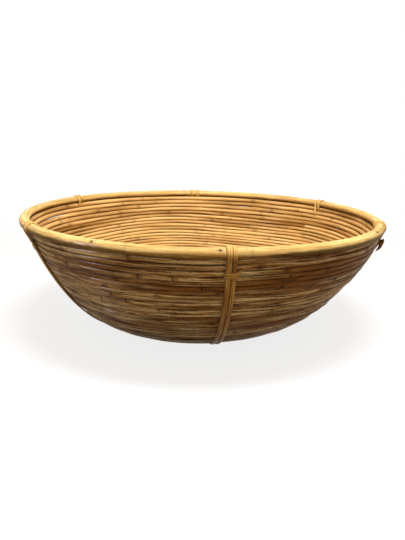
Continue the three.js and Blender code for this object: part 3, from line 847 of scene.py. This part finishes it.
# How far each free end climbs above its tie, or drops below it, and how far it reaches past the
# strips, in millimetres
tails = {
    "front": (9, 4),
    "right": (-15, 2),
    "back_right": (-7, 3.5),
    "back": (6, 4.5),
    "back_left": (-8, 4),
    "left": (7, 3.5),
}
for number, (place, (azimuth, _, _, breadth, _)) in enumerate(bindings.items()):
    left_edge = -breadth * strip_widths["a"] - strip_seam / 2
    right_edge = breadth * strip_widths["b"] + strip_seam / 2
    top = reed_face + strip_crown
    climb, reach = 0.001 * np.array(tails[place])
    tie_level = rim_level - tie_depth

    # A tie's line, as sideways, up and outwards: from behind the first strip over both to its free end
    knots = [
        (left_edge - 0.0004, 0, reed_face - 0.0006),
        (left_edge - 0.0003, 0, reed_face + 0.0008),
        (left_edge + 0.0014, 0, top + 0.0001),
        (0, 0, top),
        (right_edge - 0.0015, 0, top + 0.0001),
        (right_edge - 0.0002, 0.1 * climb, top - 0.0002),
        (right_edge + 0.6 * reach, 0.45 * climb, top),
        (right_edge + reach, climb, top + 0.0012),
    ]

    # The right pair's tie is broader and darker, partly its own brown and partly painted shade, and its
    # free end twists and curls back down
    curled = place == "right"
    if curled:
        knots[-2:] = [
            (right_edge + 0.0010, 0.0070, top + 0.0020),
            (right_edge + 0.0025, 0.0050, top + 0.0045),
            (right_edge + 0.0020, -0.0020, top + 0.0055),
            (right_edge - 0.0010, -0.0085, top + 0.0030),
        ]
    line = soften(even_steps(np.array(knots, dtype=float), tie_step), 2)
    aside = line[:, 0] + sway(place, tie_level)
    centre = wall_points(azimuth, tie_level + line[:, 1], line[:, 2], aside)
    ahead = directions(centre)
    outward = wall_points(azimuth, tie_level, 1.0) - wall_points(azimuth, tie_level, 0.0)
    sideways = np.cross(outward, ahead)
    sideways /= np.maximum(np.linalg.norm(sideways, axis=1)[:, None], 1e-6)
    outwards = np.cross(ahead, sideways)
    run = np.linspace(0, 1, len(centre))
    twist = tail_twist * curled * smooth_step((run - tail_twist_start) / tail_twist_share)[:, None]
    sideways, outwards = (
        np.cos(twist) * sideways + np.sin(twist) * outwards,
        np.cos(twist) * outwards - np.sin(twist) * sideways,
    )
    narrowed = np.clip((1 - run) / pointed_share, 0.04, 1) ** 0.8
    widths = tie_width * (1 + right_tie_broader * curled) * narrowed
    crowns = tie_crown * np.clip((1 - run) / thinned_share, 0.2, 1)
    tone = right_tie_shaded_tone if curled else tie_tone
    name, node, seed = f"{place}_binding_tie", f"{place}_tie", 80 + number
    lay_strip(name, node, centre, outwards, sideways, widths, crowns, tone, strip_dirt_and_shade, seed)

# Nails: steel pins gone dark. The ones in the rim have small round heads sunk into the cane; those
# that hold the reeds' ends are headless and lie inside the wall.
steel = bpy.data.materials.new("dark_nail_steel")
tree = empty_tree(steel)
spot = add_node(tree, "ShaderNodeTexCoord")
rust = {"Vector": spot.outputs["Object"], "Scale": 900.0, "Detail": 2.0}
rust = add_node(tree, "ShaderNodeTexNoise", rust)
colour = mixed(tree, rust.outputs[0], linear("#1F1814"), linear("#3E2718"))
finish = {"Base Color": colour, "Metallic": 0.6, "Roughness": 0.6}
shader = add_node(tree, "ShaderNodeBsdfPrincipled", finish)
add_node(tree, "ShaderNodeOutputMaterial", {"Surface": shader.outputs[0]})

# A rim nail's outline from its point to its head: radius, and share of the length down from the top
nail_length = 0.017
nail_outline = [
    (0.0001, 1.0),
    (0.0007, 0.88),
    (0.0007, 0.07),
    (0.0013, 0.05),
    (0.0013, 0.02),
    (0.0008, 0.0),
]
nail_radius, nail_down = np.array(nail_outline).T
nail_sides = 12
around_nail = 2 * pi * np.arange(nail_sides) / nail_sides
for number, azimuth in enumerate(rim_nails, 1):
    angle = radians(azimuth)
    out_from_axis = np.array([np.sin(angle), -np.cos(angle), 0.0])
    facing = np.cos(rim_nail_lean) * out_from_axis + np.array([0.0, 0.0, np.sin(rim_nail_lean)])
    pointing = np.cos(rim_nail_slope) * out_from_axis + np.array([0.0, 0.0, np.sin(rim_nail_slope)])
    beside = np.array([np.cos(angle), np.sin(angle), 0.0])
    over = np.cross(pointing, beside)
    head = wall_points(azimuth, rim_level) + (rim_thickness / 2 + 0.0001) * facing
    spoke = np.cos(around_nail)[:, None] * beside + np.sin(around_nail)[:, None] * over
    rings = head - nail_length * nail_down[:, None, None] * pointing + nail_radius[:, None, None] * spoke
    nail = skin(f"rim_nail_{number}_pin", rings, nail_down, nail_radius, {})
    nail.data.materials.append(steel)
    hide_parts(f"rim_nail_{number}")

# Each splice nail stays at its CAD azimuth and runs along the wall, half in a reed's end and half in
# the turn below it
splice_nail_length = 0.009
splice_nail_shank = 0.0007
pin_rings, pin_girth = 5, 0.005
levels = np.linspace(0, rim_level, 4000)
curve = np.stack([np.interp(levels, wall_level, column) for column in wall_curve.T], -1)
run = np.linspace(-0.5, 0.5, pin_rings)[:, None] * splice_nail_length
pin_across, pin_aside = splice_nail_shank * np.sin(around_nail), splice_nail_shank * np.cos(around_nail)
for number in range(1, len(splice_turns) + 1):
    low, high = np.array(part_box(f"splice_nail_{number}"))
    middle = (low + high) / 2
    azimuth = np.degrees(np.arctan2(middle[0], -middle[1])) % 360
    level = levels[np.hypot(*(curve - (np.hypot(*middle[:2]), middle[2])).T).argmin()]
    bottoms = np.interp(turns_at(azimuth, counted_turns), coil_turns, centre_level - thickness / 2)
    joint = bottoms[np.abs(bottoms - level).argmin()]
    rings = wall_points(azimuth, joint + run, pin_across, pin_aside)
    pin = skin(f"splice_nail_{number}_pin", rings, run[:, 0], np.full(pin_rings, pin_girth), {})
    pin.data.materials.append(steel)
    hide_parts(f"splice_nail_{number}")
